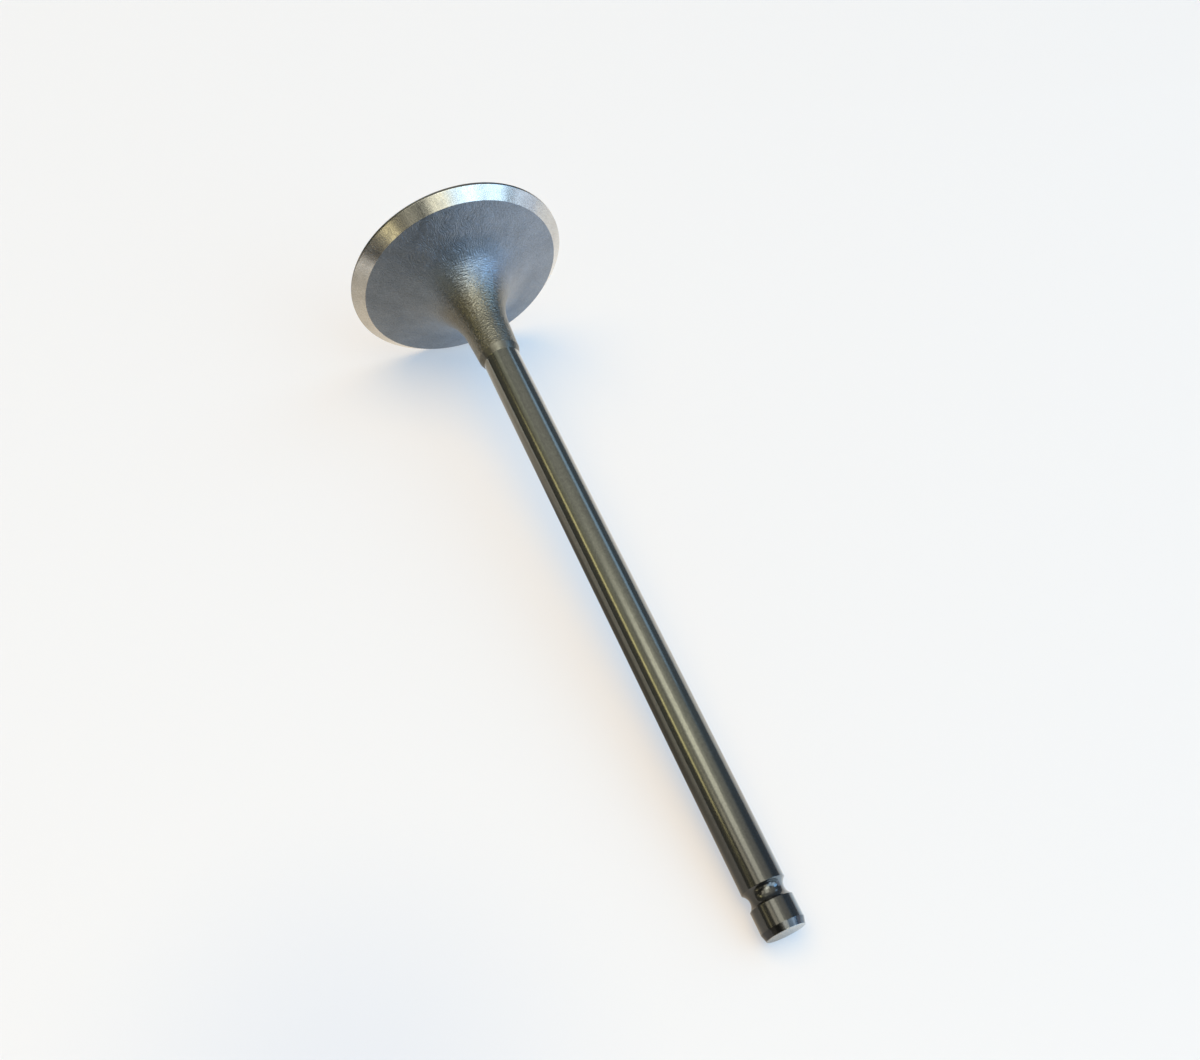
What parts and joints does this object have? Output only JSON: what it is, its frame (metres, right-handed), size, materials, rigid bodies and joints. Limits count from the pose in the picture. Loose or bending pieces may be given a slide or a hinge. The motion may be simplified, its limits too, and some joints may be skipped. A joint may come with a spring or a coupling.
{
  "type": "engine valve",
  "caption": "Poppet valve for an engine: tulip head with a flat face and a ground sealing cone, a long round stem, a keeper groove and a chamfered tip.",
  "frame": {"origin": "centre of the flat combustion face, which the valve stands on", "axes": "+Z along the stem, from the combustion face to the tip; the valve is round about Z, so X and Y are free"},
  "size_m": [0.0336, 0.0336, 0.1085],
  "materials": {
    "valve_steel": "dark nitrided steel, polished on the stem, fine forged grain under the head, with a bright ground sealing cone, face and tip"
  },
  "bodies": {
    "root": {"engine_valve": "valve_steel"}
  },
  "joints": []
}
